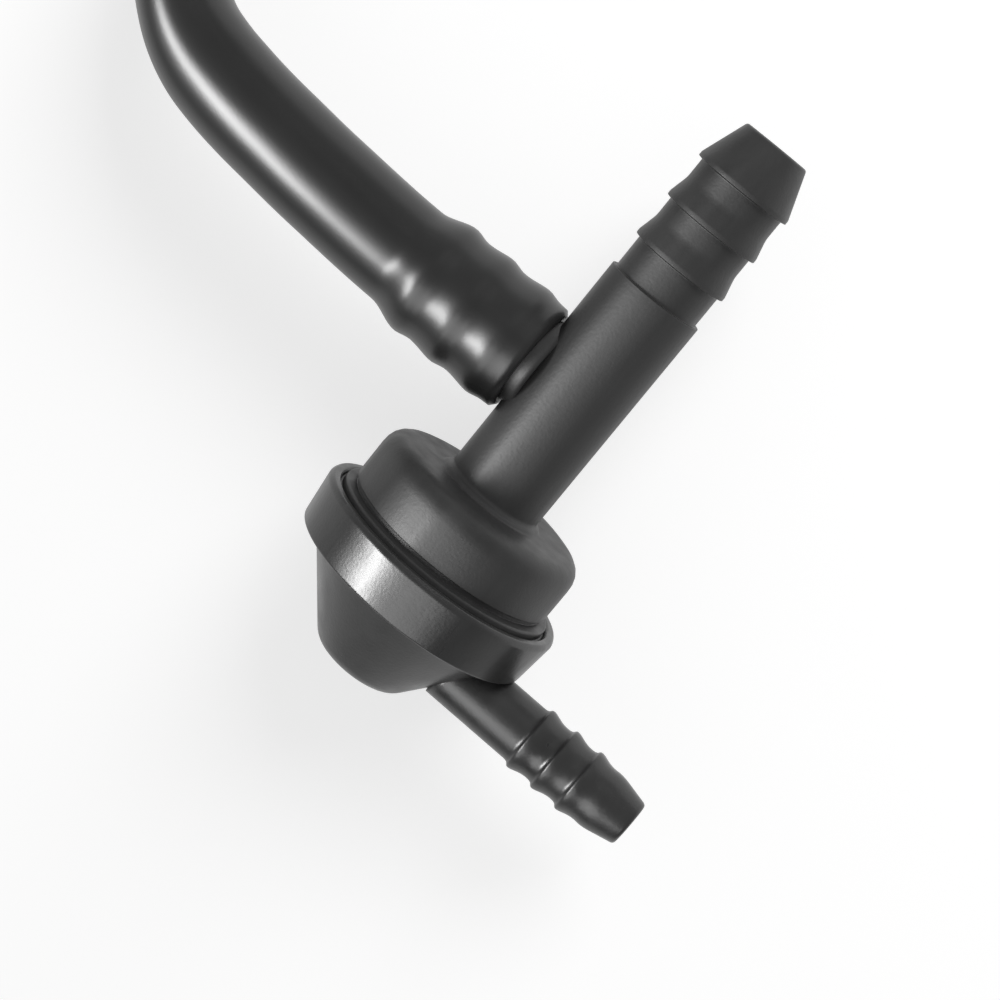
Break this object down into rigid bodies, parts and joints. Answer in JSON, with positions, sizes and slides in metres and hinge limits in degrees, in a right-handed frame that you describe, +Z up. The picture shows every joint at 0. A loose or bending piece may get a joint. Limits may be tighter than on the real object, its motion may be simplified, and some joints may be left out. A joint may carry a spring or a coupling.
{
  "type": "tee check valve with hose",
  "caption": "In-line plastic check valve with a round housing, barbed top port, side tee with a formed hose on it and a small barbed outlet.",
  "frame": {"origin": "under the middle of the valve's own box, on the surface it lies on", "axes": "+X along the valve's main axis towards the top port, +Y the way the tee and its hose leave, +Z up"},
  "size_m": [0.1548, 0.1406, 0.0322],
  "materials": {
    "black_moulding": "satin, faint mould streaks",
    "hose_nylon": "glossy extruded tube",
    "natural_plastic": "matt natural acetal",
    "seal_rubber": "matt",
    "spring_steel": "drawn wire",
    "connector_moulding": "fine-grained satin",
    "clip_plastic": "satin"
  },
  "bodies": {
    "valve": {"valve_cover": "black_moulding", "valve_cup": "black_moulding", "seat_plate": "natural_plastic", "joint_ring": "seal_rubber", "return_spring": "spring_steel", "hose_tee_end": "hose_nylon", "formed_hose": "hose_nylon", "hose_connector_end": "hose_nylon", "connector_body": "connector_moulding", "inner_o_ring": "seal_rubber", "o_ring_spacer": "natural_plastic", "outer_o_ring": "seal_rubber", "retaining_bush": "natural_plastic"},
    "poppet": {"valve_poppet": "natural_plastic", "poppet_seal": "seal_rubber"},
    "clip": {"release_clip": "clip_plastic"}
  },
  "joints": [
    {"name": "poppet_lift", "type": "slide", "parent": "valve", "child": "poppet", "axis": [1, 0, 0], "range_m": [0, 0.002], "stiffness_N_per_m": 120, "springref_m": -0.004, "deforming": ["return_spring"]},
    {"name": "clip_press", "type": "slide", "parent": "valve", "child": "clip", "axis": [0, 0, -1], "range_m": [0, 0.0018], "stiffness_N_per_m": 600, "springref_m": -0.0005}
  ]
}
